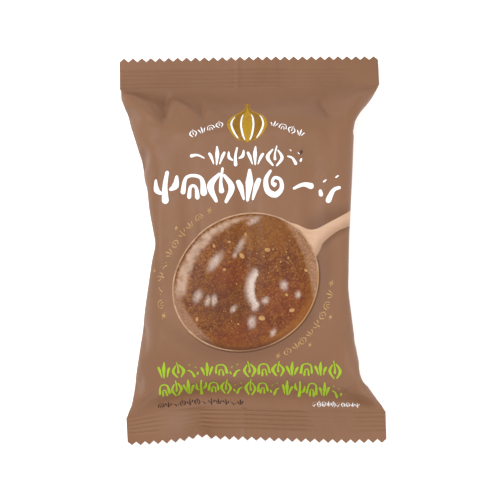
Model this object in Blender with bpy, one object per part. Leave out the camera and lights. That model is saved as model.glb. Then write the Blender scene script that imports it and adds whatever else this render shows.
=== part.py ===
"""A sealed flow-wrap sachet that holds one freeze-dried block of onion soup, lying on its back.

+X runs across the pack, +Y along it and +Z up through the printed face. The origin is on the floor under
the middle of the pack. The film is shut all round and drawn onto the block, so that film and block are one
closed solid: a printed front panel, a back panel with the folded fin seal, and a crimped seal at each end."""

import math

import bmesh
import bpy
import numpy as np

MM = 0.001

# The flat film tube
TUBE_WIDTH = 86.6 * MM  # from side fold to side fold
SEAL_GAUGE = 0.5 * MM  # front and back film welded together, with their coating
FIN_GAUGE = 0.5 * MM  # two more layers, folded flat onto the back

# The crimped end seals, measured from the middle of the pack
TIP_Y = 64.5 * MM  # points of the cut teeth
NOTCH_Y = 63.2 * MM  # bottoms of the cut teeth
BAND_Y = 60.4 * MM  # outermost crimp
SEAL_Y = 53.7 * MM  # where the seal ends and the pack opens
TEETH = 29
CRIMPS = 9  # half waves of the crimping jaw
CRIMP_DEPTH = 0.16 * MM
FIN_CRIMP_DEPTH = 0.3 * MM  # the jaw bites deeper over the fin
SEAL_HEIGHT = 10.0 * MM  # the seals stand off the floor, a little under the pack's middle plane

# The fin seal down the back
FIN_ROOT_X = -4.0 * MM
FIN_EDGE_X = 9.0 * MM
FIN_STEP = 0.3 * MM  # run of the step at each side of the fin

# The filled body
THICKNESS = 25.2 * MM
CROWN = 1.6 * MM  # the printed face is a little fuller in the middle
WAIST_FOLD_HEIGHT = 12.0 * MM
SHOULDER_RUN = 10.5 * MM  # length over which the film climbs from a seal onto the block
SHOULDER_ROUNDING = 2.2 * MM
BACK_PRESS = 1.03  # the back would bulge this much further if it didn't lie on the floor
BLUNTEST = 7.0  # superellipse exponents of the sections
SHARPEST = 1.7

# The side folds in plan, from the lower seal to the upper one: the film is drawn in to the block's sides
LEFT_FOLD = [(-53.7, -43.1), (-49, -41.2), (-35, -38.6), (-19, -36.2), (-3, -33.6), (3, -32.6),
             (13, -34.0), (29, -36.0), (37, -38.2), (51, -42.2), (53.7, -43.3)]
RIGHT_FOLD = [(-53.7, 43.3), (-49, 40.3), (-43, 35.5), (-33, 33.6), (-14, 31.7), (3, 32.3),
              (24, 33.8), (38, 34.4), (43, 35.2), (49, 40.0), (53.7, 43.3)]
FOLD_ROUNDING = 1.5 * MM

# Tucks pressed into the printed face: start, end, depth and half width, all in millimetres
TUCKS = [
    ((-42.0, 53.0), (-31.0, 42.5), 1.1, 1.6),
    ((42.0, 53.0), (34.0, 45.0), 0.8, 1.5),
    ((-41.0, -53.0), (-29.5, -40.5), 0.9, 1.8),
    ((41.0, -53.0), (31.0, -41.0), 1.0, 1.8),
    ((-14.0, 53.0), (-13.0, 46.0), 0.6, 1.5),
    ((16.0, 53.0), (14.5, 46.5), 0.6, 1.5),
]

# How far the end seals turn up from level, in degrees: position across in millimetres, then the angle
UPPER_TURN = [(-43, -6), (0, -10), (25, -16), (43, -20)]
LOWER_TURN = [(-43, 4), (-30, 14), (-18, 33), (-8, 18), (6, 8), (43, 12)]

BODY_ROWS = 37
FRONT_COLUMNS = np.linspace(0.0, 1.0, TEETH + 1)


def follow(points, value):
    """The second coordinate along a list of (first, second) points."""
    return float(np.interp(value, [p[0] for p in points], [p[1] for p in points]))


def soft_least(first, second, softness):
    """The smaller of two lengths, with the corner between them rounded."""
    return 0.5 * (first + second - math.hypot(first - second, softness))


def eased(share):
    share = min(max(share, 0.0), 1.0)
    return share * share * (3.0 - 2.0 * share)


def fold_x(points, y):
    """A side fold's place across the pack, with the corners of its outline rounded."""
    offsets = (-FOLD_ROUNDING, 0.0, FOLD_ROUNDING)
    return sum(follow(points, (y + offset) / MM) for offset in offsets) / len(offsets) * MM


def fold_height(y):
    """The side folds run from the seals' height to the middle of the block's sides."""
    return SEAL_HEIGHT + (WAIST_FOLD_HEIGHT - SEAL_HEIGHT) * eased((SEAL_Y - abs(y)) / (0.6 * SEAL_Y))


def climb(y, full_rise):
    """How far a panel stands away from the side folds: a straight shoulder, then the block's face."""
    run = max(SEAL_Y - abs(y), 0.0)
    rise = soft_least(full_rise * run / SHOULDER_RUN, full_rise, SHOULDER_ROUNDING)
    return max(rise, 0.5 * SEAL_GAUGE)


def superellipse(half_width, rise, exponent):
    """Points of half a superellipse from its left end over the top to its right end."""
    turn = np.linspace(math.pi, 0.0, 241)
    x = half_width * np.sign(np.cos(turn)) * np.abs(np.cos(turn)) ** (2.0 / exponent)
    z = rise * np.abs(np.sin(turn)) ** (2.0 / exponent)
    return x, z


def arc_lengths(x, z):
    return np.concatenate([[0.0], np.cumsum(np.hypot(np.diff(x), np.diff(z)))])


def panel_section(y, full_rise, columns):
    """One panel's section at y: as blunt as it takes for the film's own width to reach from fold to fold."""
    left, right = fold_x(LEFT_FOLD, y), fold_x(RIGHT_FOLD, y)
    rise = climb(y, full_rise)
    low, high = SHARPEST, BLUNTEST
    for _ in range(24):
        exponent = 0.5 * (low + high)
        length = arc_lengths(*superellipse(0.5 * (right - left), rise, exponent))[-1]
        low, high = (exponent, high) if length < TUBE_WIDTH else (low, exponent)
    x, z = superellipse(0.5 * (right - left), rise, exponent)
    along = arc_lengths(x, z)
    share = along / along[-1]
    return 0.5 * (left + right) + np.interp(columns, share, x), np.interp(columns, share, z)


def tuck_depth(x, y):
    """How deep the tucks reach at a point of the printed face."""
    depth = 0.0
    for start, end, deepest, half_width in TUCKS:
        run = np.subtract(end, start)
        offset = np.subtract((x / MM, y / MM), start)
        share = float(np.clip(np.dot(offset, run) / np.dot(run, run), 0.0, 1.0))
        away = float(np.hypot(*(offset - share * run)))
        depth += deepest * MM * math.exp(-(away / half_width) ** 2) * math.sin(math.pi * (0.1 + 0.85 * share))
    return depth


def fin_share(x):
    """One over the fin, nothing beside it."""
    return 1.0 if FIN_ROOT_X <= x <= FIN_EDGE_X else 0.0


def body_row(y, back_columns):
    """Front and back points of the filled body at y."""
    fold = fold_height(y)
    top = THICKNESS - CROWN * (y / SEAL_Y) ** 2
    front_x, front_rise = panel_section(y, top - fold, FRONT_COLUMNS)
    back_x, back_drop = panel_section(y, fold - FIN_GAUGE, back_columns)
    half_gauge = 0.5 * SEAL_GAUGE
    front = [(x, y, fold + max(rise - tuck_depth(x, y), half_gauge)) for x, rise in zip(front_x, front_rise)]
    back = []
    for x, drop, flat_x in zip(back_x, back_drop, (back_columns - 0.5) * TUBE_WIDTH):
        panel = max(fold - BACK_PRESS * max(drop, half_gauge), FIN_GAUGE)
        back.append((x, y, panel - FIN_GAUGE * fin_share(flat_x)))
    return front, back


def seal_point(x, run, end, side):
    """A point of an end seal: run is the distance from the seal's inner edge, side is +1 front, -1 back."""
    turn = math.radians(follow(UPPER_TURN if end > 0 else LOWER_TURN, x / MM))
    share = run / (BAND_Y - SEAL_Y)
    wave = math.cos(math.pi * CRIMPS * share) if share <= 1.0 + 1e-6 else 0.0
    over_fin = math.exp(-((x - 0.5 * (FIN_ROOT_X + FIN_EDGE_X)) / (FIN_EDGE_X - FIN_ROOT_X)) ** 4)
    relief = wave * (CRIMP_DEPTH + (FIN_CRIMP_DEPTH - CRIMP_DEPTH) * over_fin)
    lift = relief + side * 0.5 * SEAL_GAUGE
    if side < 0:
        lift -= FIN_GAUGE * fin_share(x)
    y = SEAL_Y + run * math.cos(turn)
    return (x, end * y, SEAL_HEIGHT + run * math.sin(turn) + lift)


def seal_row(run, end, back_columns):
    """Front and back points of an end seal at one distance from its inner edge."""
    front = [seal_point((share - 0.5) * TUBE_WIDTH, run, end, 1) for share in FRONT_COLUMNS]
    back = [seal_point((share - 0.5) * TUBE_WIDTH, run, end, -1) for share in back_columns]
    return front, back


def back_panel_columns():
    """The front's columns and the four that make the fin's two steps."""
    steps = [FIN_ROOT_X - FIN_STEP, FIN_ROOT_X, FIN_EDGE_X, FIN_EDGE_X + FIN_STEP]
    return np.sort(np.concatenate([FRONT_COLUMNS, [0.5 + step / TUBE_WIDTH for step in steps]]))


def all_rows(back_columns):
    """Rows from the lower seal's cut edge to the upper one's, as (front points, back points)."""
    seal_runs = [NOTCH_Y - SEAL_Y] + list(np.linspace(BAND_Y - SEAL_Y, 0.0, CRIMPS + 1))
    lower = [seal_row(run, -1, back_columns) for run in seal_runs]
    upper = [seal_row(run, 1, back_columns) for run in reversed(seal_runs)]
    spread = np.linspace(-1.0, 1.0, BODY_ROWS + 2)[1:-1]
    body_y = SEAL_Y * (spread + 0.12 * np.sin(math.pi * spread))
    return lower + [body_row(float(y), back_columns) for y in body_y] + upper


def add_teeth(mesh, front, back, back_columns, end):
    """The zigzag cut: one tooth on each column of the front, welded through to the back."""
    for index in range(TEETH):
        left, right = FRONT_COLUMNS[index], FRONT_COLUMNS[index + 1]
        x = (0.5 * (left + right) - 0.5) * TUBE_WIDTH
        tip_front = mesh.verts.new(seal_point(x, TIP_Y - SEAL_Y, end, 1))
        tip_back = mesh.verts.new(seal_point(x, TIP_Y - SEAL_Y, end, -1))
        inside = [i for i, share in enumerate(back_columns) if left - 1e-9 <= share <= right + 1e-9]
        first, last = inside[0], inside[-1]
        mesh.faces.new((front[index], front[index + 1], tip_front))
        for i in inside[:-1]:
            mesh.faces.new((back[i + 1], back[i], tip_back))
        mesh.faces.new((front[index], tip_front, tip_back, back[first]))
        mesh.faces.new((tip_front, front[index + 1], back[last], tip_back))


def skin(mesh, rows):
    """Quads between neighbouring rows."""
    for lower, upper in zip(rows, rows[1:]):
        for i in range(len(lower) - 1):
            mesh.faces.new((lower[i], lower[i + 1], upper[i + 1], upper[i]))


def film_material():
    material = bpy.data.materials.new("printed_film")
    material.use_nodes = True
    shader = material.node_tree.nodes["Principled BSDF"]
    shader.inputs["Base Color"].default_value = (0.30, 0.17, 0.105, 1.0)
    shader.inputs["Roughness"].default_value = 0.45
    shader.inputs["Metallic"].default_value = 0.0
    material.diffuse_color = (0.30, 0.17, 0.105, 1.0)
    return material


def build_sachet():
    back_columns = back_panel_columns()
    mesh = bmesh.new()
    front_rows, back_rows = [], []
    for front, back in all_rows(back_columns):
        front_rows.append([mesh.verts.new(point) for point in front])
        back_rows.append([mesh.verts.new(point) for point in back])
    skin(mesh, front_rows)
    skin(mesh, [row[::-1] for row in back_rows])
    skin(mesh, [[back[0], front[0]] for front, back in zip(front_rows, back_rows)])
    skin(mesh, [[front[-1], back[-1]] for front, back in zip(front_rows, back_rows)])
    add_teeth(mesh, front_rows[-1], back_rows[-1], back_columns, 1)
    add_teeth(mesh, front_rows[0], back_rows[0], back_columns, -1)
    bmesh.ops.triangulate(mesh, faces=mesh.faces[:])
    bmesh.ops.recalc_face_normals(mesh, faces=mesh.faces[:])
    data = bpy.data.meshes.new("sachet")
    mesh.to_mesh(data)
    mesh.free()
    data.shade_smooth()
    data.set_sharp_from_angle(angle=math.radians(40))
    data.materials.append(film_material())
    sachet = bpy.data.objects.new("sachet", data)
    bpy.context.scene.collection.objects.link(sachet)


for leftover in list(bpy.data.objects):
    bpy.data.objects.remove(leftover)
build_sachet()
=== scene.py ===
"""The looks of a sealed film sachet of freeze-dried onion soup, lying on its back with its print up.

The film is relaxed round its block as a sheet that bends but hardly stretches, and its end seals are then
crimped and cut. The print is flat artwork, drawn in the film's own millimetres and laid onto the film."""

import math

import bmesh
import bpy
import numpy as np
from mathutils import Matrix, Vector


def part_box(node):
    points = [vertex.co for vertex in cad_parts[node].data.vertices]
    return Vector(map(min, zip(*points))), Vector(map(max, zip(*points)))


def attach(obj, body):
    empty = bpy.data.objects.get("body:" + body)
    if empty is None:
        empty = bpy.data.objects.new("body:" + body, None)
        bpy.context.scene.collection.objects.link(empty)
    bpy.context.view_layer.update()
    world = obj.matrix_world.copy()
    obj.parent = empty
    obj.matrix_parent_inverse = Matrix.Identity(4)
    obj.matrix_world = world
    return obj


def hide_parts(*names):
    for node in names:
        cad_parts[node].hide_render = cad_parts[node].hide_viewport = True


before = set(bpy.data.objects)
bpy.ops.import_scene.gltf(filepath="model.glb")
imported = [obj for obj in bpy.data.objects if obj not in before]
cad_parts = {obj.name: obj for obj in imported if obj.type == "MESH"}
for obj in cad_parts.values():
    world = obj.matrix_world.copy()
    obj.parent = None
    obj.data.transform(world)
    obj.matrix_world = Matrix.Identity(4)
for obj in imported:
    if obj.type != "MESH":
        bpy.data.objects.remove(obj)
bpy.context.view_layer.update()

MM = 0.001
BODY = "root"
NODE = "sachet"

# ---------------- sizes, in millimetres
low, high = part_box(NODE)
TUBE = (high[0] - low[0]) / MM  # the flat film tube, fold to fold
TIP_Y = high[1] / MM  # points of the cut teeth
SEAL = 10.8  # an end seal, from its inner edge to the points of its teeth
TOOTH = 1.3
TEETH = 29
SEAL_Y = TIP_Y - SEAL
SEAL_Z = 10.0  # height of the end seals over the floor
SHEET = 0.15  # half the thickness of a welded seal
FILM_LENGTH = 115.5  # flat film between the two seals
PRINT_DROP = 0.75  # how far the print sits below the film's middle

CRIMP_PITCH = 1.49
CRIMP_START = 0.4  # first groove, from the seal's inner edge
CRIMPS = 5
CRIMP_DEPTH = 0.3

FIN_ROOT, FIN_EDGE = -4.0, 9.0  # the fin's place across the back, in film millimetres
FIN_SPACE = 0.5  # the room it takes under the back panel
FIN_MARK = 0.15  # how far it shows through an end seal
FIN_LIFT, FIN_THICK, FIN_RIDGE = 0.06, 0.38, 0.04

BLOCK_CENTRE = np.array((-0.6, 1.8, 12.2))
BLOCK_HALF = np.array((28.5, 40.2, 11.6))
BLOCK_CORNER = 6.0
CEILING = 25.4  # how far the film stands up over the block
UPPER_FLARE, LOWER_FLARE = 9.0, 12.0  # how far in from a seal the film lies flatter

# The side folds in plan, from the lower seal to the upper one
LEFT_FOLD = [(-SEAL_Y, -43.3), (-49, -41.0), (-35, -38.2), (-19, -36.0), (-3, -33.0), (2, -31.6),
             (13, -33.7), (20, -34.4), (23, -35.3), (29, -36.1), (37, -37.8), (48, -40.6), (SEAL_Y, -43.3)]
RIGHT_FOLD = [(-SEAL_Y, 43.3), (-49, 39.7), (-43, 35.2), (-33, 33.3), (-14, 31.0), (3, 31.7),
              (24, 33.3), (38, 34.1), (43, 35.2), (49, 40.4), (SEAL_Y, 43.3)]

# How far the end seals turn up from level: place across, then degrees
UPPER_TURN = [(-43, -6), (0, -10), (25, -16), (43, -20)]
LOWER_TURN = [(-43, -27), (-32, -4), (-18, 34), (-14, 18), (-4, 11), (6, 8), (43, 10)]

# How far the lower seam draws in towards the pack's middle: place across, then millimetres
LOWER_DRAW = [(-43, -2.1), (-34, -0.4), (-18, 0.9), (-3, 0.5), (9, -0.2), (21, -0.75), (30, -1.15),
              (43, -1.2)]

# How deep the crimps are along each seal: place across, then a share of the full depth
UPPER_BITE = [(-43, 0.9), (-8, 0.65), (-5, 1.0), (10, 1.0), (13, 0.6), (29, 0.5), (34, 0.1), (43, 0.0)]
LOWER_BITE = [(-43, 0.9), (-34, 0.8), (-31, 0.15), (-19, 0.1), (-17, 0.8), (-4, 0.7), (-2, 1.0), (16, 1.0),
              (19, 0.2), (31, 0.15), (34, 0.6), (43, 0.8)]

# Creases in the printed face: start and end in plan, height, and the widths to the left and right of the line
CREASES = [((-42.6, 53.5), (-28.7, 40.7), 2.0, 2.6, 7.0), ((-28.4, 41.4), (-27.3, 52.0), -2.5, 3.8, 1.1),
           ((-25.9, 49.8), (-14.7, 42.1), 1.4, 1.6, 4.5), ((-15.0, 41.7), (-15.6, 49.0), -1.3, 3.0, 0.9),
           ((-13.9, 45.8), (-5.0, 39.4), 1.1, 1.5, 3.5), ((-3.0, 42.5), (27.7, 42.3), 1.3, 1.9, 4.5),
           ((27.3, 42.1), (23.2, 48.8), -2.0, 2.4, 3.6), ((26.7, 42.1), (34.2, 45.8), 0.5, 1.6, 1.6),
           ((40.6, 53.6), (32.9, 44.7), 0.7, 1.2, 3.0), ((29.3, 41.1), (27.9, 25.3), 0.35, 1.6, 1.2),
           ((-42.1, -54.6), (-32.3, -46.2), -0.9, 0.9, 1.1), ((-36.4, -46.3), (-29.5, -29.1), 0.6, 3.0, 1.6),
           ((29.3, -47.8), (29.3, -30.0), 0.6, 3.5, 1.8), ((36.2, -43.7), (29.3, -49.0), -1.1, 2.0, 2.6),
           ((-30.1, 13.4), (-28.9, -24.1), 0.25, 2.0, 1.4)]

# How the film settles
HELD_SPEED = 0.9  # the share of its speed that it keeps from step to step
SQUEEZE = 0.15  # how much of a squeezed length springs back, as film buckles more finely than the grid
ALONG_FOLD = 0.3  # how hard the side folds pull to their lines
CROWN = ((30, 0.8), (42, 0.5))  # distances across and along from the middle, and the ceiling's drop there


# ---------------- the print, in flat film millimetres
# x runs from the left fold over the face to the right fold, and on over the back; y is 0 halfway up
BOWL_CENTRE, BOWL_HALF, BOWL_TURN = (-1.7, -10.4), (24.8, 22.0), 23.8
RIM = 0.45
SOUP_INSET = 0.4
# Where the soup runs shallow over the spoon's wall: ovals that it is deep inside, as centre and half sizes
DEEP_FROM_LEFT = ((19.6, 4.5), (47.2, 47.2))
DEEP_FROM_RIGHT = ((-29.7, -20.6), (50.6, 50.6))
UNDER_HANDLE = ((38.0, -6.0), (16.4, 14.0))  # an oval whose edge is the handle's lower edge
HANDLE_TOP = [(10.5, 9.2), (14.8, 8.1), (20.7, 6.25), (27.6, 9.4), (33.2, 12.2), (45, 16.5), (56, 19.8)]
HANDLE_FOOT = [(19.5, -6.0), (22.95, -0.6), (24.3, 2.1), (28.6, 5.6), (32.7, 7.25), (45, 11.0), (56, 13.6)]

# Gleams on the soup: centre, half length and half width, turn in degrees, strength
GLEAMS = [((-12.0, -3.6), (4.6, 1.9), 54, 0.7), ((-3.6, 1.4), (4.0, 1.5), 58, 0.55),
          ((0.9, 9.3), (3.0, 1.3), 24, 0.6), ((1.5, -18.2), (2.2, 1.5), 60, 0.8),
          ((4.8, -16.4), (1.7, 1.4), 40, 0.7), ((10.9, -11.6), (2.1, 1.6), 100, 0.75),
          ((15.4, -14.7), (1.6, 1.2), 80, 0.7), ((0.1, -23.4), (2.6, 1.7), 80, 0.75),
          ((7.0, -26.8), (2.1, 1.0), 66, 0.65), ((-17.6, -14.7), (2.7, 1.7), 62, 0.65),
          ((-14.4, -16.2), (2.1, 1.1), 80, 0.75), ((-12.3, -16.0), (2.4, 1.2), 84, 0.75),
          ((-5.9, -19.0), (1.9, 1.1), 48, 0.65), ((-5.6, -1.7), (1.3, 0.9), 80, 0.6)]
# The two crescents among them: an oval, the oval cut out of it and the oval they end in, each as centre,
# half sizes, turn, and the two distances from its centre that its edge is eased between
WALL_GLEAM = [(BOWL_CENTRE, (23.9, 21.1), BOWL_TURN, 1.01, 0.95),
              ((4.2, -12.7), (26.0, 23.2), BOWL_TURN, 0.97, 1.05), ((-16.0, 6.0), (30.0, 21.0), 0, 1.1, 0.9)]
MIDDLE_GLEAM = [((4.6, -12.6), (6.9, 8.2), 0, 1.08, 0.66), ((7.3, -12.9), (6.3, 7.9), 0, 0.9, 1.06),
                ((-1.4, -12.2), (5.0, 9.5), 0, 1.02, 0.85)]
# Bits of onion afloat: centre and size
BITS = [(-3.0, -1.9, 1.6), (5.6, -0.1, 1.5), (18.3, -6.9, 1.2), (3.4, -22.1, 1.8), (13.3, -19.7, 1.5),
        (11.7, -14.7, 0.9), (-1.7, 5.0, 1.1), (-7.4, 2.7, 0.8), (-12.3, 1.5, 0.9), (-8.9, -6.2, 0.9),
        (9.9, -4.0, 0.6), (11.8, -0.9, 0.5), (-4.4, -23.9, 0.6), (-17.9, -22.0, 1.2), (12.4, -2.8, 0.7)]

SPECKS = 0.16  # fine specks for each square millimetre of soup

EMBLEM = (-0.7, 42.0)
# The right-hand outline of the emblem's onion, from its root to its tip
ONION = [(0.3, -7.2), (3.9, -5.7), (6.6, -1.5), (5.1, 2.4), (1.9, 4.6), (0.8, 6.4), (0.9, 8.4)]
GORES = (-90, -52, -18, 18, 52, 90)

# Rows of ornaments: where the middle of the row starts and ends, cells, height and stroke
HEADING = ((-20.3, 30.6), (17.7, 29.9), 6, 6.8, 0.85)
TITLE = ((-32.2, 21.2), (31.0, 19.9), 7, 11.4, 1.6)
CAPTIONS = [((-19.8, 37.6), (-8.4, 41.4), 4, 2.7, 0.32), ((6.7, 41.2), (18.1, 37.0), 4, 2.7, 0.32)]
PROMISES = [((-31.6, -39.4), (29.2, -40.0), 13, 6.5, 0.74), ((-31.8, -46.8), (29.3, -48.2), 15, 7.4, 0.74)]
FOOTNOTE = ((-32.6, -53.6), (-3.8, -54.6), 12, 3.0, 0.38)
NOTICE = ((19.0, -54.3), (35.0, -53.8), 10, 2.8, 0.2)
BACK_ROWS = [((94.5, y), (112.5, y), 11, 1.5, 0.2) for y in np.arange(30, -33, -3.2)]

# Made-up ornaments for those rows, as strokes in a cell one unit each way: points, and widths along them
ORNAMENTS = {
    "sprout": [([(0.0, -0.5), (0.04, 0.0), (-0.04, 0.46)], (1.5, 1.0, 0.7)),
               ([(-0.14, -0.1), (-0.38, 0.04), (-0.42, 0.34)], (0.5, 1.4, 0.5)),
               ([(0.16, -0.22), (0.4, -0.08), (0.44, 0.22)], (0.5, 1.3, 0.5))],
    "arch": [([(-0.44, -0.3), (-0.3, 0.26), (0.28, 0.28), (0.44, -0.26)], (1.5, 0.7, 0.6, 1.1)),
             ([(-0.17, -0.42), (-0.1, -0.04), (0.12, -0.02), (0.19, -0.4)], (1.1, 0.6, 0.6, 0.9))],
    "bulb": [([(-0.08, 0.36), (-0.42, -0.02), (-0.12, -0.46)], (0.5, 1.5, 0.6)),
             ([(0.14, 0.32), (0.42, -0.06), (0.12, -0.48)], (0.5, 1.3, 0.6)),
             ([(0.1, 0.52), (0.0, 0.12), (0.02, -0.2)], (0.5, 0.6, 1.2))],
    "petals": [([(0.0, -0.42), (0.03, 0.1), (0.0, 0.48)], (0.5, 1.6, 0.5)),
               ([(-0.16, -0.38), (-0.32, -0.02), (-0.46, 0.16)], (0.4, 1.2, 0.9)),
               ([(0.17, -0.38), (0.33, 0.0), (0.46, 0.22)], (0.4, 1.2, 0.9))],
    "spiral": [([(-0.02, 0.02), (0.14, 0.1), (0.06, 0.26), (-0.18, 0.2), (-0.24, -0.06), (0.0, -0.26),
                 (0.32, -0.14), (0.4, 0.2), (0.2, 0.5)], (1.1, 0.6, 0.6, 0.7, 0.9, 1.2, 1.2, 0.9, 0.5))],
    "leaf": [([(-0.42, -0.08), (0.0, 0.06), (0.42, 0.0)], (0.5, 0.8, 1.4))],
    "berries": [([(-0.26, 0.2), (-0.22, 0.16)], (1.9, 1.9)), ([(0.2, 0.34), (0.24, 0.3)], (1.7, 1.7)),
                ([(0.4, 0.0), (0.1, -0.1), (-0.14, -0.46)], (0.6, 0.8, 1.3)),
                ([(-0.42, -0.1), (-0.34, -0.3)], (0.6, 1.0))],
}
TITLE_ORNAMENTS = ("sprout", "arch", "bulb", "petals", "spiral", "leaf", "berries")


# ---------------- colours

def tone(red, green, blue):
    """A colour given as display values from 0 to 255, made linear."""
    return (*(((value / 255 + 0.055) / 1.055) ** 2.4 for value in (red, green, blue)), 1)


FILM_BROWN, FILM_BROWN_DEEP, FILM_SHADE = tone(127, 90, 66), tone(123, 87, 63), tone(82, 50, 34)
WOOD, WOOD_DEEP, WOOD_SHADE = tone(191, 156, 130), tone(186, 150, 123), tone(150, 114, 88)
RIM_PALE, RIM_DEEP = tone(176, 142, 112), tone(152, 118, 90)
RIM_GOLDEN, RIM_FOOT = tone(160, 116, 70), tone(112, 74, 46)
SOUP, SOUP_DEEP, SOUP_DARK = tone(115, 61, 15), tone(100, 47, 12), tone(78, 37, 12)
SOUP_GOLDEN, SOUP_PALE, SOUP_RED = tone(122, 74, 14), tone(142, 97, 46), tone(109, 38, 7)
SOUP_GLOW = tone(156, 96, 40)
# Patches of the soup in another tint: centre, half sizes, turn, strength and tint
SOUP_PATCHES = [((4, 6), (18, 9), -10, 0.4, SOUP_GOLDEN), ((-8, -17), (15, 11), -20, 0.45, SOUP_DARK),
                ((12, -17), (12, 11), 20, 0.35, SOUP_RED), ((-7, -8), (9, 6), 20, 0.35, SOUP_RED),
                ((-4, -28), (13, 7), 20, 0.35, SOUP_RED)]
SHALLOW_LEFT, SHALLOW_RIGHT, SHALLOW_MOTTLE = tone(142, 104, 78), tone(154, 112, 80), tone(124, 86, 60)
GLEAM_BROWN, GLEAM = tone(184, 155, 134), tone(206, 189, 178)
SHEEN = 0.48  # the film's least roughness


# ---------------- the relaxed film
def follow(points, values):
    """The second coordinate along a list of (first, second) points."""
    return np.interp(values, [p[0] for p in points], [p[1] for p in points])


def rounded(points, values, reach):
    """As follow, with the corners of the line rounded."""
    return sum(follow(points, values + shift) for shift in (-reach, -0.5 * reach, 0, 0.5 * reach, reach)) / 5


def eased(share):
    """A share from nothing to one, slow at both ends."""
    share = np.clip(share, 0, 1)
    return share * share * (3 - 2 * share)


def along(*axes):
    """Lengths along a line of points."""
    return np.concatenate([[0], np.cumsum(np.sqrt(sum(np.diff(axis) ** 2 for axis in axes)))])


def section(y, rise, shares):
    """A panel's first guess at y: as blunt as it takes for the film to reach from fold to fold."""
    left, right = rounded(LEFT_FOLD, y, 1.5), rounded(RIGHT_FOLD, y, 1.5)
    turn = np.linspace(math.pi, 0, 181)
    sharp, blunt = 1.7, 7.0
    for _ in range(16):
        exponent = 0.5 * (sharp + blunt)
        x = 0.5 * (right - left) * np.sign(np.cos(turn)) * np.abs(np.cos(turn)) ** (2 / exponent)
        z = rise * np.abs(np.sin(turn)) ** (2 / exponent)
        sharp, blunt = (exponent, blunt) if along(x, z)[-1] < TUBE else (sharp, exponent)
    share = along(x, z) / along(x, z)[-1]
    return 0.5 * (left + right) + np.interp(shares, share, x), np.interp(shares, share, z)


def first_guess(across, rows):
    """A grid of film points, rows from the lower seal up and columns round the tube from the left fold."""
    y_line = np.linspace(-SEAL_Y, SEAL_Y, 801)
    run = SEAL_Y - np.abs(y_line)
    fold = SEAL_Z + 2.0 * eased(run / (0.6 * SEAL_Y))

    def climb(full):
        slope = full * run / 10.5
        return np.maximum(0.5 * (slope + full - np.hypot(slope - full, 2.2)), SHEET)

    top, bottom = climb(CEILING - fold), climb(fold - FIN_SPACE)
    length = along(y_line, fold + top)
    y_rows = np.interp(np.linspace(0, length[-1], rows + 1), length, y_line)
    shares = np.linspace(0, 1, across + 1)
    grid = np.zeros((rows + 1, 2 * across, 3))
    for row, y in enumerate(y_rows):
        middle = np.interp(y, y_line, fold)
        x, z = section(y, np.interp(y, y_line, top), shares)
        grid[row, : across + 1] = np.stack([x, np.full_like(x, y), middle + z], axis=1)
        x, z = section(y, np.interp(y, y_line, bottom), shares)
        grid[row, across:] = np.stack([x, np.full_like(x, y), middle - z], axis=1)[:0:-1]
        grid[row, (0, across), 2] = middle
    return grid


def links(rows, around, down, over):
    """Pairs of film points a fixed step apart, in two groups that share no point."""
    index = np.arange((rows + 1) * around).reshape(rows + 1, around)
    other = np.roll(index, -over, axis=1)
    if down == 0:
        groups = [(np.arange(around) // over) % 2 == group for group in (0, 1)]
        return [(index[:, group].ravel(), other[:, group].ravel()) for group in groups]
    index, other = index[:-down], other[down:]
    groups = [(np.arange(len(index)) // down) % 2 == group for group in (0, 1)]
    return [(index[group].ravel(), other[group].ravel()) for group in groups]


def outward(grid):
    """Unit normals of a grid that is closed round its columns."""
    over = np.roll(grid, -1, axis=1) - np.roll(grid, 1, axis=1)
    normal = np.cross(over, np.gradient(grid, axis=0))
    return normal / np.maximum(np.linalg.norm(normal, axis=2, keepdims=True), 1e-9)


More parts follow.
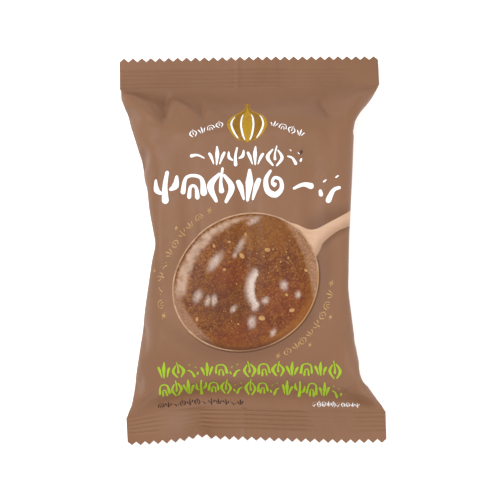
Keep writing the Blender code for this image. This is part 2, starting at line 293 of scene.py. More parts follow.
def relax(grid, steps, bend, press):
    """Lets the film settle: it keeps its lengths, resists bending, and stays off the block and the floor."""
    rows, around = grid.shape[0] - 1, grid.shape[1]
    across = around // 2
    over_step, down_step = TUBE / across, FILM_LENGTH / rows
    springs = []
    for down, over, stiffness, give in ((0, 1, 1, SQUEEZE), (1, 0, 1, SQUEEZE), (1, 1, 0.35, SQUEEZE),
                                        (1, -1, 0.35, SQUEEZE), (0, 2, bend, 1), (2, 0, bend, 1),
                                        (0, 4, bend, 1), (4, 0, bend, 1)):
        rest = math.hypot(down * down_step, over * over_step)
        springs += [(*pair, rest, stiffness, give) for pair in links(rows, around, down, over)]
    index = np.arange((rows + 1) * around).reshape(rows + 1, around)
    left, right = index[1:-1, 0], index[1:-1, across]
    front, back = index[1:-1, 1:across].ravel(), index[1:-1, : across : -1].ravel()
    ends = np.concatenate([index[0], index[-1]])
    points = grid.reshape(-1, 3).copy()
    held, before = points[ends].copy(), points.copy()
    core = BLOCK_HALF - BLOCK_CORNER
    (wide, wide_drop), (long, long_drop) = CROWN
    for step in range(steps):
        moved = HELD_SPEED * (points - before)
        before = points.copy()
        points += moved
        if step % 4 == 0:
            push = press * outward(points.reshape(grid.shape)).reshape(-1, 3)
        points += push
        for a, b, rest, stiffness, give in springs:
            apart = points[b] - points[a]
            length = np.sqrt(np.einsum("ij,ij->i", apart, apart))
            excess = length - rest
            excess = np.where(excess < 0, give * excess, excess)
            share = (0.5 * stiffness * excess / np.maximum(length, 1e-6))[:, None] * apart
            points[a] += share
            points[b] -= share
        offset = points - BLOCK_CENTRE
        beyond = np.maximum(np.abs(offset) - core, 0)
        reach = np.sqrt((beyond ** 2).sum(axis=1))
        inside = (reach < BLOCK_CORNER) & (reach > 1e-6)
        points[inside] += (np.sign(offset) * beyond)[inside] * (BLOCK_CORNER / reach[inside] - 1)[:, None]
        points[:, 2] = np.maximum(points[:, 2], FIN_SPACE)
        roof = CEILING - wide_drop * (points[:, 0] / wide) ** 2 - long_drop * (points[:, 1] / long) ** 2
        points[:, 2] -= 0.3 * np.maximum(points[:, 2] - roof, 0)
        closing = np.maximum(2 * SHEET - (points[front, 2] - points[back, 2]), 0)
        points[front, 2] += 0.5 * closing
        points[back, 2] -= 0.5 * closing
        low_x, high_x = rounded(LEFT_FOLD, points[:, 1], 1.5), rounded(RIGHT_FOLD, points[:, 1], 1.5)
        points[left, 0] += ALONG_FOLD * (low_x - points[:, 0])[left]
        points[right, 0] += ALONG_FOLD * (high_x - points[:, 0])[right]
        points[:, 0] += 0.5 * np.maximum(low_x - points[:, 0], 0) - 0.5 * np.maximum(points[:, 0] - high_x, 0)
        points[ends] = held
    return points.reshape(grid.shape)


def between(a, b, c, d, t):
    """The place on a smooth curve through a, b, c and d that is so far on from b to c."""
    return b + 0.5 * t * (c - a + t * (2 * a - 5 * b + 4 * c - d + t * (3 * (b - c) + d - a)))


def resampled(grid, rows, around):
    """The grid at another count of rows and columns, on smooth curves through its points."""
    for axis, count in ((1, around), (0, rows)):
        closed = axis == 1
        given = grid.shape[axis] if closed else grid.shape[axis] - 1
        place = np.arange(count if closed else count + 1) * given / count
        first = np.minimum(place.astype(int), given - 1)
        t = (place - first).reshape((-1, 1, 1) if axis == 0 else (1, -1, 1))

        def at(shift):
            index = first + shift
            return np.take(grid, index % given if closed else np.clip(index, 0, given), axis=axis)

        grid = between(at(-1), at(0), at(1), at(2), t)
    return grid


def creased(grid):
    """The front panel with its creases, each a ridge or a valley with one side steeper than the other."""
    normal = outward(grid)
    height = np.zeros(grid.shape[:2])
    across = grid.shape[1] // 2
    for start, end, tallest, wide_left, wide_right in CREASES:
        run = np.subtract(end, start)
        length = np.hypot(*run)
        offset = grid[..., :2] - start
        share = (offset @ run) / length ** 2
        side = (run[0] * offset[..., 1] - run[1] * offset[..., 0]) / length
        past = np.maximum(np.maximum(-share, share - 1), 0) * length
        width = np.where(side > 0, wide_left, wide_right)
        fade = np.sin(math.pi * np.clip(0.15 + 0.7 * share, 0, 1)) * np.exp(-0.8 * past)
        height += tallest * fade * np.exp(-np.sqrt(side ** 2 + 0.03) / width)
    height[:, across + 1 :] = 0
    height *= eased((SEAL_Y - np.abs(grid[..., 1])) / 3)
    return grid + height[..., None] * normal


def flared(grid):
    """The film with its ends lying flatter where they leave the seals, most of all in the middle."""
    grid = grid.copy()
    for end, flare in ((1, UPPER_FLARE), (-1, LOWER_FLARE)):
        half = end * grid[..., 1] > 0
        x, y, z = (grid[..., axis][half] for axis in range(3))
        run = SEAL_Y - end * y
        rise = eased(run / (flare * (1 - 0.7 * (x / 43) ** 2)))
        level = SEAL_Z - np.tan(seal_turn(end, x)) * run * (1 - rise)
        grid[half, 2] = level + (z - SEAL_Z) * (0.1 + 0.9 * rise)
        grid[half, 1] = y - end * seam_draw(end, x) * (1 - eased(run / 16))
    return grid


def relaxed_body(rows, around):
    """The film between its seals."""
    grid = first_guess(58, 78)
    unevenness = np.random.default_rng(3).normal(0, 0.15, (14, 20, 3))
    grid[1:-1] += resampled(unevenness, 78, 116)[1:-1]
    grid = relax(grid, 600, 0.3, 0.0008)
    grid = relax(resampled(grid, 156, 232), 120, 0.25, 0.0003)
    return creased(flared(resampled(grid, rows, around)))


# ---------------- the end seals and the fin
def zigzag(x):
    """One at the point of a tooth, nothing at its root."""
    return 1 - np.abs(2 * ((x / TUBE + 0.5) * TEETH % 1) - 1)


def seal_turn(end, x):
    """How far an end seal turns up from level."""
    return np.radians(rounded(UPPER_TURN if end > 0 else LOWER_TURN, x, 1.8))


def seam_draw(end, x):
    """How far an end seal's inner edge draws in towards the pack's middle."""
    return np.zeros_like(x) if end > 0 else rounded(LOWER_DRAW, x, 3)


def seal_rows(end, across, runs):
    """Rows of an end seal, from its inner edge out, closed round like the body."""
    flat_x = np.linspace(-0.5 * TUBE, 0.5 * TUBE, across + 1)
    x = np.concatenate([flat_x, flat_x[-2:0:-1]])
    side = np.concatenate([[0], np.ones(across - 1), [0], -np.ones(across - 1)])
    turn = seal_turn(end, x)
    bite = rounded(UPPER_BITE if end > 0 else LOWER_BITE, x, 0.8)
    over_fin = eased(x - FIN_ROOT + 1) * (1 - eased(x - FIN_EDGE))
    over_fin += 1.6 * np.exp(-((x - FIN_ROOT) / 0.5) ** 2)
    seam = SEAL_Y - seam_draw(end, x)
    rows = []
    for run in runs:
        reach = run + TOOTH * zigzag(x) if run == runs[-1] else np.full_like(x, run)
        groove = math.cos(math.pi * (run - CRIMP_START) / CRIMP_PITCH) ** 4
        in_crimps = CRIMP_START - 0.5 * CRIMP_PITCH < run < CRIMP_START + (CRIMPS - 0.5) * CRIMP_PITCH
        lift = SHEET * side + FIN_MARK * over_fin * (side > 0)
        lift -= CRIMP_DEPTH * bite * groove if in_crimps else 0
        share = min(run / 0.3, 1)
        lift = lift * share + SHEET * side * (1 - share)
        y = end * (seam + reach * np.cos(turn) - lift * np.sin(turn))
        rows.append(np.stack([x, y, SEAL_Z + reach * np.sin(turn) + lift * np.cos(turn)], axis=1))
    return rows


def film_grid(per_tooth, body_rows):
    """The whole film from one cut edge to the other, and each row's place along the film."""
    across = per_tooth * TEETH
    root = SEAL - TOOTH
    crimp_rows = np.arange(0.2, CRIMP_START + (CRIMPS - 0.5) * CRIMP_PITCH, CRIMP_PITCH / 7)
    runs = np.concatenate([crimp_rows, np.linspace(crimp_rows[-1], root - 0.1, 5)[1:], [root]])
    body = relaxed_body(body_rows, 2 * across)
    lower, upper = seal_rows(-1, across, runs)[::-1], seal_rows(1, across, runs)
    grid = np.concatenate([np.array(lower), body, np.array(upper)])
    half = 0.5 * FILM_LENGTH
    length = np.concatenate([-half - runs[::-1], np.linspace(-half, half, body_rows + 1), half + runs])
    return grid, length + PRINT_DROP


def mesh_object(name, points, faces, smooth_below=60):
    """A mesh object from points in millimetres."""
    data = bpy.data.meshes.new(name)
    data.from_pydata((np.asarray(points).reshape(-1, 3) * MM).tolist(), [], faces)
    data.shade_smooth()
    data.set_sharp_from_angle(angle=math.radians(smooth_below))
    made = bpy.data.objects.new(name, data)
    bpy.context.scene.collection.objects.link(made)
    return made


def tube_cells(rows, around):
    """The points' numbers in a grid that is closed round its columns, and the cells between them."""
    index = np.arange(rows * around).reshape(rows, around)
    after = np.roll(index, -1, axis=1)
    cells = np.stack([index[:-1], after[:-1], after[1:], index[1:]], axis=-1).reshape(-1, 4)
    return index, cells


def give_print_map(made, coordinates):
    """A UV map that holds each point's place on the flat film, in metres."""
    layer = made.data.uv_layers.new(name="film")
    corner = np.empty(len(made.data.loops), np.int32)
    starts, sizes = (np.empty(len(made.data.polygons), np.int32) for _ in range(2))
    made.data.loops.foreach_get("vertex_index", corner)
    made.data.polygons.foreach_get("loop_start", starts)
    made.data.polygons.foreach_get("loop_total", sizes)
    flat = np.asarray(coordinates, float)[corner]
    furthest = np.repeat(np.maximum.reduceat(flat[:, 0], starts), sizes)
    flat[furthest - flat[:, 0] > TUBE, 0] += 2 * TUBE  # the cells that close the tube at the left fold
    layer.data.foreach_set("uv", (flat * MM).astype(np.float32).ravel())


def build_film(grid, length):
    """The film's surface: the grid's cells, with its two ends shut at the cut edges."""
    rows, around = grid.shape[:2]
    across = around // 2
    index, cells = tube_cells(rows, around)
    faces = cells.tolist()
    for edge, flip in ((index[0], False), (index[-1], True)):
        for column in range(1, across - 1):
            face = [edge[column], edge[-column], edge[-column - 1], edge[column + 1]]
            faces.append(face[::-1] if flip else face)
        for corner in ([edge[0], edge[-1], edge[1]], [edge[across], edge[across - 1], edge[across + 1]]):
            faces.append(corner[::-1] if flip else corner)
    film = mesh_object("film", grid, faces)
    flat_x = np.broadcast_to(np.arange(around) * TUBE / across - 0.5 * TUBE, (rows, around))
    flat = np.stack([flat_x, np.broadcast_to(length[:, None], (rows, around))], axis=-1)
    give_print_map(film, flat.reshape(-1, 2))
    return film


def build_fin(grid, length):
    """The fin seal: the film's two edges welded face to face and folded flat over the back."""
    across = grid.shape[1] // 2
    columns = np.arange(FIN_ROOT, FIN_EDGE + 0.01, 0.25)
    place = across + (0.5 * TUBE - columns) / TUBE * across
    first = place.astype(int)
    share = (place - first)[None, :, None]
    normal = outward(grid)

    def on_back(field):
        return field[:, first] * (1 - share) + field[:, first + 1] * share

    base, out = on_back(grid), on_back(normal)
    ridges = FIN_RIDGE * np.cos(2 * math.pi * columns)
    inner = base + FIN_LIFT * out
    outer = base + (FIN_THICK + ridges)[None, :, None] * out
    outer[:, (0, -1)] = base[:, (0, -1)] + 0.3 * out[:, (0, -1)]
    inner[:, 0] = base[:, 0] - 0.1 * out[:, 0]
    rows, wide = inner.shape[:2]
    loop = np.concatenate([inner, outer[:, ::-1]], axis=1)
    around = 2 * wide
    index, cells = tube_cells(rows, around)
    faces = cells[:, ::-1].tolist()
    for column in range(wide - 1):
        first_end = [column, column + 1, around - column - 2, around - column - 1]
        faces.append(index[0][first_end].tolist())
        faces.append(index[-1][first_end[::-1]].tolist())
    fin = mesh_object("fin_seal", loop, faces, 50)
    flat_x = np.concatenate([columns, columns[::-1]])
    flat = np.stack([np.broadcast_to(flat_x + 2 * TUBE, (rows, around)),
                     np.broadcast_to(length[:, None], (rows, around))], axis=-1)
    give_print_map(fin, flat.reshape(-1, 2))
    return fin


# ---------------- node trees
class Field:
    """A node's output. Expressions on it add Math nodes."""

    def __init__(self, nodes, socket):
        self.nodes, self.socket = nodes, socket

    def maths(self, operation, *values):
        return self.nodes.add("ShaderNodeMath", {"operation": operation}, dict(enumerate(values)))

    def __add__(self, other):
        return self.maths("ADD", self, other)

    def __mul__(self, other):
        return self.maths("MULTIPLY", self, other)

    __radd__, __rmul__ = __add__, __mul__


class Nodes:
    """A node tree under construction."""

    def __init__(self, tree):
        self.tree = tree

    def add(self, kind, settings=None, inputs=None, output=0):
        """Adds a node with its settings, then fills its sockets, and returns one of its outputs."""
        node = self.tree.nodes.new(kind)
        for name, value in (settings or {}).items():
            setattr(node, name, value)
        for key, value in (inputs or {}).items():
            if isinstance(value, Field):
                self.tree.links.new(value.socket, node.inputs[key])
            else:
                node.inputs[key].default_value = value
        return Field(self, node.outputs[output])

    def vector(self, operation, *values, output=0, **named):
        inputs = {**dict(enumerate(values)), **named}
        return self.add("ShaderNodeVectorMath", {"operation": operation}, inputs, output)


class Finish(Nodes):
    """A material built round its Principled shader."""

    def __init__(self, name):
        self.material = bpy.data.materials.new(name)
        self.material.use_nodes = True
        super().__init__(self.material.node_tree)
        self.shader = self.tree.nodes["Principled BSDF"]
        self.place = self.add("ShaderNodeTexCoord", output="Object")

    def mix(self, factor, first, second):
        inputs = {"Factor": factor, 6: first, 7: second}
        return self.add("ShaderNodeMix", {"data_type": "RGBA"}, inputs, 2)

    def noise(self, vector, size, detail=2.0, output=0):
        """Noise whose lumps are about so many millimetres across."""
        inputs = {"Vector": vector, "Scale": 1 / (size * MM), "Detail": detail}
        return self.add("ShaderNodeTexNoise", inputs=inputs, output=output)

    def printed(self):
        """The place on the flat film, in metres."""
        return self.add("ShaderNodeUVMap", {"uv_map": "film"})

    def stirred(self, vector, size, reach):
        """The vector pushed about by noise, as far as the reach in millimetres."""
        push = self.vector("SUBTRACT", self.noise(vector, size, 3.0, output=1), (0.5, 0.5, 0.5))
        return self.vector("ADD", vector, self.vector("SCALE", push, Scale=reach * MM))

    def fade(self, value, start, end):
        """Eased from nothing at the start to one at the end."""
        inputs = {"Value": value, "From Min": start, "From Max": end}
        return self.add("ShaderNodeMapRange", {"interpolation_type": "SMOOTHSTEP"}, inputs)

    def from_oval(self, vector, centre, half_sizes, turn=0):
        """Distance from an oval's centre, one on its outline; sizes in millimetres, turn in degrees."""
        place, sizes = ((x * MM, y * MM, z) for (x, y), z in ((centre, 0), (half_sizes, 1)))
        inputs = {"Vector": vector, "Location": place, "Rotation": (0, 0, math.radians(turn)), "Scale": sizes}
        unit = self.add("ShaderNodeMapping", {"vector_type": "TEXTURE"}, inputs)
        return self.vector("LENGTH", unit, output=1)

    def patch(self, vector, centre, half_sizes, turn, start, end):
        """Eased from nothing to one between two distances from an oval's centre."""
        return self.fade(self.from_oval(vector, centre, half_sizes, turn), start, end)

    def set(self, **values):
        """Fills the shader's sockets, whose names are written here with _ for each space."""
        for name, value in values.items():
            socket = self.shader.inputs[name.replace("_", " ")]
            if isinstance(value, Field):
                self.tree.links.new(value.socket, socket)
            else:
                socket.default_value = value
        return self.material


class Grower(Nodes):
    """A Geometry Nodes group that takes a shape and some named inputs."""

    def __init__(self, name, **kinds):
        super().__init__(bpy.data.node_groups.new(name, "GeometryNodeTree"))
        self.tree.interface.new_socket("Geometry", in_out="OUTPUT", socket_type="NodeSocketGeometry")
        for title, kind in {"Geometry": "Geometry", **kinds}.items():
            self.tree.interface.new_socket(title, in_out="INPUT", socket_type="NodeSocket" + kind)
        entry = self.add("NodeGroupInput").socket.node
        self.given = {socket.name: Field(self, socket) for socket in entry.outputs}

    def finished(self, shape, material):
        """Ends the group: its instances made real, in one material."""
        real = self.add("GeometryNodeRealizeInstances", inputs={"Geometry": shape})
        dressed = self.add("GeometryNodeSetMaterial", inputs={"Geometry": real, "Material": material})
        leave = self.tree.nodes.new("NodeGroupOutput")
        self.tree.links.new(dressed.socket, leave.inputs["Geometry"])
        return self.tree


def grown(start, name, tree, **values):
    """The plain mesh that a Geometry Nodes group makes of a shape, as a piece. The shape itself goes."""
    modifier = start.modifiers.new("grow", "NODES")
    modifier.node_group = tree
    for socket in tree.interface.items_tree:
        if socket.in_out == "INPUT" and socket.name in values:
            modifier[socket.identifier] = values[socket.name]
    depsgraph = bpy.context.evaluated_depsgraph_get()
    data = bpy.data.meshes.new_from_object(start.evaluated_get(depsgraph), depsgraph=depsgraph)
    bpy.data.objects.remove(start)
    data.name = name
    made = bpy.data.objects.new(name, data)
    bpy.context.scene.collection.objects.link(made)
    return made


# ---------------- finishes
def give_film_surface(finish):
    """What the film and its inks share: soft crumples, a fine grain and an uneven satin sheen."""
    crumples = finish.noise(finish.place, 9.0, 3.0)
    grain = finish.noise(finish.place, 0.5)
    height = crumples + 0.02 * grain
    bump = finish.add("ShaderNodeBump", inputs={"Strength": 1.0, "Distance": 0.0006, "Height": height})
    patches = finish.noise(finish.place, 14.0, 4.0)
    roughness = SHEEN + 0.12 * patches + 0.06 * grain
    return finish.set(Roughness=roughness, Specular_IOR_Level=0.28, Normal=bump)


def film_finish():
    """The brown film, with the printed shade that the spoon throws on it."""
    finish = Finish("film_brown")
    printed = finish.printed()
    cloud = finish.noise(finish.place, 22.0, 3.0)
    speck = finish.noise(finish.place, 0.35)
    colour = finish.mix(finish.fade(cloud + 0.1 * speck, 0.35, 0.75), FILM_BROWN, FILM_BROWN_DEEP)
    beyond = finish.from_oval(printed, BOWL_CENTRE, BOWL_HALF, BOWL_TURN)
    unshaded = (BOWL_CENTRE[0] - 6, BOWL_CENTRE[1] + 8)
    shade = 0.3 * finish.fade(beyond, 1.3, 1.0) + 0.7 * finish.fade(beyond, 1.03, 1.01)
    shade = shade * finish.patch(printed, unshaded, BOWL_HALF, BOWL_TURN, 1.08, 1.34)
    near = finish.patch(printed, (30.0, 6.0), (13.0, 9.0), 0, 1.1, 0.5)
    shade = shade + 0.45 * near * finish.patch(printed, *UNDER_HANDLE, 0, 0.84, 1.0)
    colour = finish.mix(shade, colour, FILM_SHADE)
    finish.set(Base_Color=colour)
    return give_film_surface(finish)


def ink_finish(name, colour, worn):
    """An ink on the film, a little uneven, from its fresh and its worn colour."""
    finish = Finish(name)
    patchy = finish.noise(finish.place, 1.2, 3.0)
    finish.set(Base_Color=finish.mix(finish.fade(patchy, 0.3, 0.8), tone(*colour), tone(*worn)))
    return give_film_surface(finish)


def spoon_finish():
    """The pictured spoon's pale wood, darker along the handle's lower edge."""
    finish = Finish("spoon_wood")
    printed = finish.printed()
    along_grain = finish.add("ShaderNodeMapping", inputs={
        "Vector": printed, "Rotation": (0, 0, math.radians(-20)), "Scale": (0.15, 1, 1)})
    grain = finish.noise(along_grain, 0.8, 3.0)
    colour = finish.mix(finish.fade(grain, 0.3, 0.75), WOOD, WOOD_DEEP)
    under = finish.patch(printed, *UNDER_HANDLE, 0, 1.22, 1.0)
    finish.set(Base_Color=finish.mix(0.75 * under, colour, WOOD_SHADE))
    return give_film_surface(finish)


def rim_finish():
    """The spoon's pictured rim: pale above, golden low on the right, dark at the foot."""
    finish = Finish("spoon_rim")
    printed = finish.printed()
    patchy = finish.noise(printed, 2.5, 2.0)
    golden = finish.patch(printed, (16, -18), (18, 16), 0, 1.1, 0.4)
    foot = finish.patch(printed, (2, -37), (22, 9), 8, 1.1, 0.4)
    colour = finish.mix(finish.fade(patchy, 0.35, 0.7), RIM_PALE, RIM_DEEP)
    finish.set(Base_Color=finish.mix(foot, finish.mix(golden, colour, RIM_GOLDEN), RIM_FOOT))
    return give_film_surface(finish)


def soup_finish():
    """The pictured soup: brown, mottled and full of fine bits, shallow at two sides, with white gleams."""
    finish = Finish("pictured_soup")
    printed = finish.printed()
    swirled, ragged = finish.stirred(printed, 4.0, 4.0), finish.stirred(printed, 0.9, 1.5)
    pools = finish.noise(swirled, 9.0, 3.0)
    clumps = finish.noise(swirled, 2.2, 4.0)
    fine = finish.noise(swirled, 0.6, 6.0)
    colour = finish.mix(finish.fade(pools, 0.41, 0.59), SOUP, SOUP_DEEP)
    colour = finish.mix(0.5 * finish.fade(clumps, 0.5, 0.65), colour, SOUP_DARK)
    colour = finish.mix(0.65 * finish.fade(clumps, 0.49, 0.36), colour, SOUP_GOLDEN)
    colour = finish.mix(0.7 * finish.fade(fine, 0.51, 0.64), colour, SOUP_DARK)
    colour = finish.mix(0.65 * finish.fade(fine, 0.48, 0.35), colour, SOUP_PALE)
    for centre, half_sizes, turn, strength, tint in SOUP_PATCHES:
        patch = finish.patch(printed, centre, half_sizes, turn, 1.2, 0.2)
        colour = finish.mix(strength * patch, colour, tint)

    radius = finish.from_oval(ragged, BOWL_CENTRE, BOWL_HALF, BOWL_TURN)
    colour = finish.mix(0.35 * finish.fade(radius, 0.8, 0.95), colour, SOUP_GOLDEN)
    colour = finish.mix(0.6 * finish.fade(radius, 0.95, 0.985), colour, SOUP_DARK)
    foot = finish.fade(radius, 0.9, 0.97) * finish.patch(printed, (-2, -32), (22, 9), 8, 1.1, 0.7)
    for (centre, half_sizes), shallow in ((DEEP_FROM_LEFT, SHALLOW_LEFT), (DEEP_FROM_RIGHT, SHALLOW_RIGHT)):
        wall = finish.patch(ragged, centre, half_sizes, 0, 0.985, 1.015)
        colour = finish.mix(wall, colour, finish.mix(finish.fade(fine, 0.35, 0.65), shallow, SHALLOW_MOTTLE))
    colour = finish.mix(0.8 * foot, colour, SOUP_DARK)
    glow = finish.fade(radius, 0.84, 0.95) * finish.patch(printed, (14, -23), (13, 10), 35, 1.1, 0.4)
    colour = finish.mix(0.3 * glow, colour, SOUP_GLOW)

    def crescent(patches):
        outer, cut, end = (finish.patch(ragged, *patch) for patch in patches)
        return outer * cut * end

    ripple = finish.fade(finish.noise(printed, 3.0, 4.0), 0.2, 0.6) * finish.fade(fine, 0.1, 0.5)
    colour = finish.mix(0.8 * crescent(WALL_GLEAM) * ripple, colour, GLEAM_BROWN)
    colour = finish.mix(0.85 * crescent(MIDDLE_GLEAM) * finish.fade(fine, 0.15, 0.5), colour, GLEAM)
    for centre, half_sizes, turn, strength in GLEAMS:
        gleam = finish.patch(ragged, centre, half_sizes, turn, 1.2, 0.08)
        colour = finish.mix(0.9 * strength * gleam * finish.fade(fine, 0.2, 0.55), colour, GLEAM)
    finish.set(Base_Color=colour)
    return give_film_surface(finish)


def floor_finish():
    """The plain white floor."""
    finish = Finish("floor_white")
    tint = finish.noise(finish.place, 300.0)
    finish.set(Base_Color=finish.mix(tint, (0.92, 0.92, 0.92, 1), (0.9, 0.9, 0.9, 1)))
    return finish.set(Roughness=0.9, Emission_Color=(1, 1, 1, 1), Emission_Strength=0.45)


# ---------------- flat artwork
def smooth_line(points, shares):
    """Places along a smooth curve through a few points."""
    points = np.asarray(points, float)
    spans = len(points) - 1
    place = np.clip(np.asarray(shares) * spans, 0, spans - 1e-9)
    first = place.astype(int)
    t = (place - first)[:, None]
    ends = np.vstack([2 * points[0] - points[1], points, 2 * points[-1] - points[-2]])
    return between(*(ends[first + shift] for shift in range(4)), t)


def turned(points, degrees):
    """Points turned about the origin."""
    c, s = math.cos(math.radians(degrees)), math.sin(math.radians(degrees))
    return np.asarray(points, float) @ np.array([[c, s], [-s, c]])


class Artwork:
    """The flat shapes of one ink, in the film's own millimetres, as cells fine enough to follow the film."""

    CELL = 0.6

    def __init__(self):
        self.points, self.faces = [], []

    def lattice(self, rails):
        """Cells between neighbouring rails, which all have the same number of points."""
        rails = np.asarray(rails)
        lines, count = rails.shape[:2]
        index = len(self.points) + np.arange(lines * count).reshape(lines, count)
        self.points.extend(rails.reshape(-1, 2).tolist())
        cells = np.stack([index[:-1, :-1], index[1:, :-1], index[1:, 1:], index[:-1, 1:]], axis=-1)
        self.faces.extend(cells.reshape(-1, 4).tolist())

    def dab(self, points, widths):
        """A brush stroke with round ends, along a smooth line, as wide as the widths say."""
        rough = smooth_line(points, np.linspace(0, 1, 12))
        reach = along(*rough.T)[-1]
        widest = max(widths)
        count = max(6, math.ceil(reach / self.CELL) + 3)
        shares = 0.5 - 0.5 * np.cos(np.linspace(0, math.pi, count))
        line = smooth_line(points, shares)
        run = np.gradient(line, axis=0)
        normal = np.stack([-run[:, 1], run[:, 0]], axis=1) / np.maximum(np.hypot(*run.T), 1e-9)[:, None]
        half = 0.5 * np.interp(shares, np.linspace(0, 1, len(widths)), widths)
        past = np.minimum(np.minimum(shares, 1 - shares) * reach / np.maximum(half, 1e-6), 1)
        half = half * np.sqrt(np.maximum(1 - (1 - past) ** 2, 0.03))
        lanes = max(2, math.ceil(widest / self.CELL))
        self.lattice([line + normal * half[:, None] * place for place in np.linspace(-1, 1, lanes + 1)])

    def band(self, upper, lower):
        """A shape between two smooth edges."""
        reach = along(*smooth_line(upper, np.linspace(0, 1, 40)).T)[-1]
        shares = np.linspace(0, 1, math.ceil(reach / self.CELL) + 1)
        top, bottom = smooth_line(upper, shares), smooth_line(lower, shares)
        lanes = math.ceil(np.hypot(*(top - bottom).T).max() / self.CELL)
        self.lattice([top + (bottom - top) * place for place in np.linspace(0, 1, lanes + 1)])

    def disc(self, centre, outline, inner=0):
        """A shape whose outline is given from its centre, filled from this share of the outline out."""
        closed = np.vstack([outline, outline[:1]])
        rings = math.ceil((1 - inner) * np.hypot(*closed.T).max() / self.CELL)
        places = np.linspace(inner, 1, max(rings, 1 if inner else 2) + 1)
        self.lattice([np.asarray(centre) + closed * place for place in places])

    def laid(self, name, lift, ink):
        """The artwork as a piece of its own, laid onto the film."""
        flat = self.flat(name)
        give_print_map(flat, [tuple(point.co.xy / MM) for point in flat.data.vertices])
        return grown(flat, name, LAYING, Film=film, Lift=lift * MM, Ink=ink)

    def flat(self, name):
        """The artwork before it is laid, all of it facing up, with its seams and poles merged."""
        corners = np.asarray(self.points)[np.asarray(self.faces)]
        first, second = corners[:, 2] - corners[:, 0], corners[:, 3] - corners[:, 1]
        down = first[:, 0] * second[:, 1] - first[:, 1] * second[:, 0] < 0
        faces = [face[::-1] if flip else face for face, flip in zip(self.faces, down)]
        made = mesh_object(name + "_flat", np.pad(self.points, ((0, 0), (0, 1))), faces)
        mesh = bmesh.new()
        mesh.from_mesh(made.data)
        bmesh.ops.remove_doubles(mesh, verts=mesh.verts, dist=0.003 * MM)
        mesh.to_mesh(made.data)
        mesh.free()
        return made


def laying_tree():
    """Lays flat shapes onto the film, by its map of the flat film."""
    nodes = Grower("lay_on_film", Film="Object", Lift="Float", Ink="Material")
    given = nodes.given
    shape = nodes.add("GeometryNodeObjectInfo", inputs={"Object": given["Film"]}, output="Geometry")
    flat_map = nodes.add("GeometryNodeInputNamedAttribute", {"data_type": "FLOAT_VECTOR"}, {"Name": "film"})
    position = nodes.add("GeometryNodeInputPosition")

    def on_film(value):
        inputs = {"Mesh": shape, "Value": value, "UV Map": flat_map, "Sample UV": position}
        return nodes.add("GeometryNodeSampleUVSurface", {"data_type": "FLOAT_VECTOR"}, inputs)

    raised = nodes.vector("SCALE", on_film(nodes.add("GeometryNodeInputNormal")), Scale=given["Lift"])
    place = nodes.vector("ADD", on_film(position), raised)
    moved = nodes.add("GeometryNodeSetPosition", inputs={"Geometry": given["Geometry"], "Position": place})
    return nodes.finished(moved, given["Ink"])


def speck_tree():
    """Scatters small discs over a flat shape."""
    nodes = Grower("scatter_specks", Density="Float", Smallest="Float", Largest="Float", Seed="Int",
                   Ink="Material")
    given = nodes.given
    spots = nodes.add("GeometryNodeDistributePointsOnFaces", {"distribute_method": "RANDOM"},
                      {"Mesh": given["Geometry"], "Density": given["Density"], "Seed": given["Seed"]})
    speck = nodes.add("GeometryNodeMeshCircle", {"fill_type": "NGON"}, {"Vertices": 7, "Radius": 1.0})

    def random(least, most, offset):
        inputs = {"Min": least, "Max": most, "Seed": given["Seed"] + offset}
        return nodes.add("FunctionNodeRandomValue", {"data_type": "FLOAT"}, inputs, 1)

    size, turn = random(given["Smallest"], given["Largest"], 1), random(0.0, math.tau, 2)
    long = nodes.add("ShaderNodeCombineXYZ", inputs={"X": size * random(1.0, 2.4, 3), "Y": size, "Z": size})
    inputs = {"Points": spots, "Instance": speck, "Scale": long,
              "Rotation": nodes.add("ShaderNodeCombineXYZ", inputs={"Z": turn})}
    return nodes.finished(nodes.add("GeometryNodeInstanceOnPoints", inputs=inputs), given["Ink"])


# ---------------- the print
def row_of_ornaments(art, rng, start, end, count, height, stroke, names=None, route=None, bold=False):
    """Made-up ornaments in a row, where the pack has words."""
    choice = [name for name in ORNAMENTS if not bold or len(ORNAMENTS[name]) > 1]
    start, end = np.array(start, float), np.array(end, float)
    width = np.hypot(*(end - start)) / count
    angle = math.degrees(math.atan2(*(end - start)[::-1]))
    last = None
    for cell in range(count):
        name = names[cell] if names else rng.choice([name for name in choice if name != last])
        share = (cell + 0.5) / count
        place, turn = route(share) if route else (start + (end - start) * share, angle)
        scale = (width * rng.choice((-0.9, 0.9)), height * rng.uniform(0.88, 1.04))
        for points, widths in ORNAMENTS[name]:
            line = turned(np.multiply(points, scale), turn + rng.uniform(-5, 5)) + place
            art.dab(line, stroke * np.array(widths))
        last = name


def sparkle(art, centre, size):
    """Three thin strokes that cross."""
    for angle in (10, 70, 130):
        reach = size * (0.5 if angle == 70 else 0.36)
        art.dab(turned([(-reach, 0), (0, 0), (reach, 0)], angle) + centre, (0.1, 0.34, 0.1))


def outline_of_bowl(inset):
    """The spoon's bowl, drawn in by an inset, from its centre."""
    angle = np.linspace(0, 360, 240, endpoint=False)
    unit = np.stack([np.cos(np.radians(angle)), np.sin(np.radians(angle))], axis=1)
    shape = turned(turned(unit, -BOWL_TURN) / BOWL_HALF, BOWL_TURN)
    return unit * (1 / np.hypot(*shape.T) - inset)[:, None]


def draw_spoon():
    art = Artwork()
    art.disc(BOWL_CENTRE, outline_of_bowl(0))
    art.band(HANDLE_TOP, HANDLE_FOOT)
    end, foot = np.array(HANDLE_TOP[-1]), np.array(HANDLE_FOOT[-1])
    half = 0.5 * np.hypot(*(end - foot))
    circle = [turned((half, 0), angle) for angle in range(0, 360, 12)]
    art.disc(0.5 * (end + foot), circle)
    return art


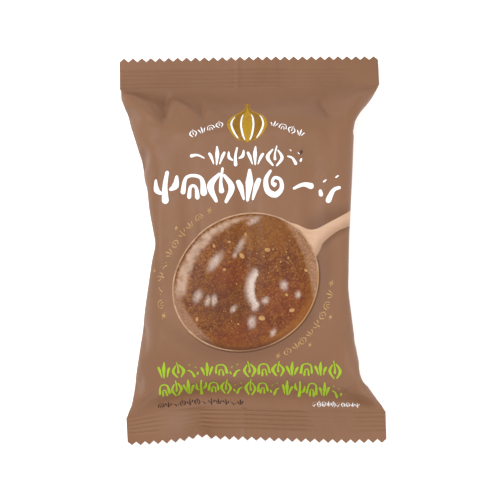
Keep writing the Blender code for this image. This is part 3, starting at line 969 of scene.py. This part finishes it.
def draw_emblem():
    """An onion in gold gores, with white layers: its light gores, its dark gores and its lines."""
    light, dark, lines = Artwork(), Artwork(), Artwork()
    edges = [np.array(ONION) * (math.sin(math.radians(angle)), 1) + EMBLEM for angle in GORES]
    for gore in range(len(GORES) - 1):
        (light if gore % 2 == 0 else dark).band(edges[gore], edges[gore + 1])
    for edge, first, last in zip(edges[1:5], (0.16, 0.1, 0.1, 0.16), (0.5, 0.55, 0.55, 0.5)):
        lines.dab(smooth_line(edge, np.linspace(first, last, 5)), (0.3, 0.6, 0.62, 0.5, 0.25))
    return light, dark, lines


def draw_bits(rng):
    art = Artwork()
    turn = np.linspace(0, 360, 14, endpoint=False)
    loose = [(*(rng.uniform(-16, 16, 2) + BOWL_CENTRE), rng.uniform(0.3, 0.5)) for _ in range(9)]
    for x, y, size in BITS + loose:
        bulge = 0.22 * np.sin(np.radians(2 * turn) + rng.uniform(0, 6)) + rng.uniform(-0.1, 0.1, 14)
        radius = 0.5 * size * (1 + bulge)
        art.disc((x, y), np.array([turned((r, 0), angle) for r, angle in zip(radius, turn)]))
    return art


def beside_bowl(gap, start, end):
    """A route round the outside of the spoon's bowl, from one direction to another."""
    outline = outline_of_bowl(-gap)

    def route(share):
        angle = start + (end - start) * share
        here, ahead = (outline[int(round(a / 360 * len(outline))) % len(outline)] for a in (angle, angle + 3))
        run = (ahead - here) * (1 if end > start else -1)
        return here + BOWL_CENTRE, math.degrees(math.atan2(run[1], run[0]))

    return route


def print_pack():
    """All of the print, as pieces."""
    rng = np.random.default_rng(8)
    white, green, dark, pale = (Artwork() for _ in range(4))
    row_of_ornaments(white, rng, *HEADING)
    row_of_ornaments(white, rng, *TITLE, names=TITLE_ORNAMENTS)
    for row in CAPTIONS + [NOTICE] + BACK_ROWS:
        row_of_ornaments(white, rng, *row, bold=True)
    for row in PROMISES:
        row_of_ornaments(green, rng, *row, bold=True)
    row_of_ornaments(dark, rng, *FOOTNOTE, bold=True)
    sparkle(dark, (16.8, 31.3), 2.2)
    for start, end, count in ((197, 122, 9), (-64, -6, 8)):
        route = beside_bowl(4.2, start, end)
        cells = ((0, 0), (count * 3.4, 0), count, 2.6, 0.3)
        row_of_ornaments(pale, rng, *cells, route=route, bold=True)
        for share, size in ((-0.06, 2.6), (1.07, 2.6), (0.33, 1.6), (0.72, 1.8)):
            place, turn = route(share)
            away = turned((0, 2.6 if 0 < share < 1 else 0), turn)
            sparkle(pale, place + away * (1 if end < start else -1), size)
    light, shaded, lines = draw_emblem()
    soup = Artwork()
    soup.disc(BOWL_CENTRE, outline_of_bowl(SOUP_INSET))
    rim = Artwork()
    rim.disc(BOWL_CENTRE, outline_of_bowl(0), 1 - RIM / BOWL_HALF[1])
    white_ink = ink_finish("ink_white", (238, 238, 240), (228, 227, 226))
    onion_ink = ink_finish("ink_onion", (174, 134, 86), (156, 108, 56))
    return [
        draw_spoon().laid("spoon", 0.04, spoon_finish()),
        soup.laid("soup_picture", 0.055, soup_finish()),
        rim.laid("spoon_rim", 0.07, rim_finish()),
        draw_bits(rng).laid("onion_bits", 0.07, onion_ink),
        light.laid("emblem_light", 0.05, ink_finish("gold_light", (164, 126, 8), (152, 114, 6))),
        shaded.laid("emblem_dark", 0.05, ink_finish("gold_dark", (134, 94, 2), (124, 86, 2))),
        lines.laid("emblem_lines", 0.07, white_ink),
        white.laid("print_white", 0.05, white_ink),
        green.laid("print_green", 0.05, ink_finish("ink_green", (147, 178, 32), (137, 166, 28))),
        dark.laid("print_dark", 0.05, ink_finish("ink_dark", (48, 26, 18), (56, 32, 24))),
        pale.laid("print_gold", 0.05, ink_finish("ink_pale_gold", (176, 140, 90), (162, 126, 80))),
        scatter_specks(),
    ]


def scatter_specks():
    """Fine specks afloat on the soup."""
    art = Artwork()
    art.disc(BOWL_CENTRE + np.array((0.6, 0.2)), outline_of_bowl(4.6))
    ink = ink_finish("ink_speck", (156, 114, 72), (138, 94, 54))
    specks = grown(art.flat("specks_field"), "specks_flat", speck_tree(), Density=SPECKS / MM ** 2,
                   Smallest=0.06 * MM, Largest=0.14 * MM, Seed=6, Ink=ink)
    return grown(specks, "specks", LAYING, Film=film, Lift=0.07 * MM, Ink=ink)


# ---------------- the set
def build_set():
    """The floor, the lights and the camera."""
    half = 3000
    corners = [(-half, -half, 0), (half, -half, 0), (half, half, 0), (-half, half, 0)]
    floor = mesh_object("floor", corners, [(0, 1, 2, 3)])
    floor.data.materials.append(floor_finish())

    world = bpy.data.worlds.new("studio")
    world.use_nodes = True
    world.node_tree.nodes["Background"].inputs["Color"].default_value = (1, 1, 1, 1)
    world.node_tree.nodes["Background"].inputs["Strength"].default_value = 0.65
    bpy.context.scene.world = world

    def softbox(name, place, size, power):
        light = bpy.data.lights.new(name, "AREA")
        light.shape, light.size, light.energy = "SQUARE", size, power
        lamp = bpy.data.objects.new(name, light)
        lamp.location = place
        lamp.rotation_euler = (-Vector(place)).to_track_quat("-Z", "Y").to_euler()
        bpy.context.scene.collection.objects.link(lamp)

    softbox("key", (-0.38, 0.22, 0.84), 0.3, 6.4)
    softbox("fill", (0.6, -0.5, 0.45), 0.4, 3.3)

    lens = bpy.data.cameras.new("camera")
    lens.lens = 135
    lens.sensor_width = 36
    camera = bpy.data.objects.new("camera", lens)
    camera.rotation_mode = "XYZ"
    camera.rotation_euler = (0, 0, math.radians(-1.1))
    wide = 500 / 3 * MM
    camera.location = (-0.9 * MM, -0.45 * MM, 11 * MM + wide * lens.lens / lens.sensor_width)
    bpy.context.scene.collection.objects.link(camera)
    bpy.context.scene.camera = camera
    bpy.context.scene.view_settings.view_transform = "Standard"


build_set()
grid, length = film_grid(per_tooth=6, body_rows=190)
film = build_film(grid, length)
fin = build_fin(grid, length)
brown = film_finish()
for piece in (film, fin):
    piece.data.materials.append(brown)
LAYING = laying_tree()
for piece in [film, fin] + print_pack():
    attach(piece, BODY)
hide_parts(NODE)
